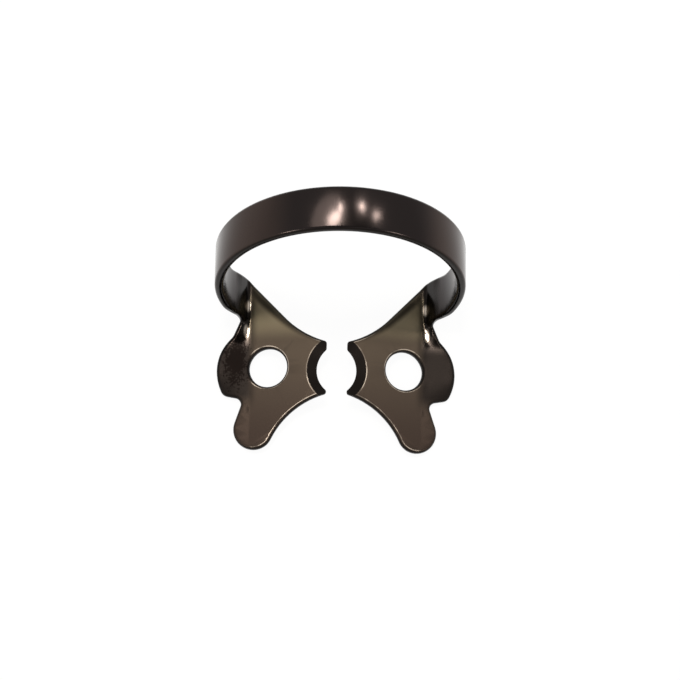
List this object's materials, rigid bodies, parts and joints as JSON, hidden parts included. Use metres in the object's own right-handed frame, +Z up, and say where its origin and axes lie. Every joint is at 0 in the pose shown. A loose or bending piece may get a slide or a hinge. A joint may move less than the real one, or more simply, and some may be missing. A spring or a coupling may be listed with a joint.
{
  "type": "rubber dam clamp",
  "caption": "Winged dental dam clamp: a springy arched bow carries bent jaws with forceps holes, flared wings, front tabs and bevelled prongs that grip a tooth.",
  "frame": {"origin": "middle of the overall box, at the level that the clamp stands on", "axes": "+X across the jaws, +Y from the jaws towards the bow, +Z up, from the jaws to the crown of the bow"},
  "size_m": [0.0258, 0.0222, 0.022],
  "materials": {
    "steel": "gloss"
  },
  "bodies": {
    "root": {"clamp": "steel"}
  },
  "joints": []
}
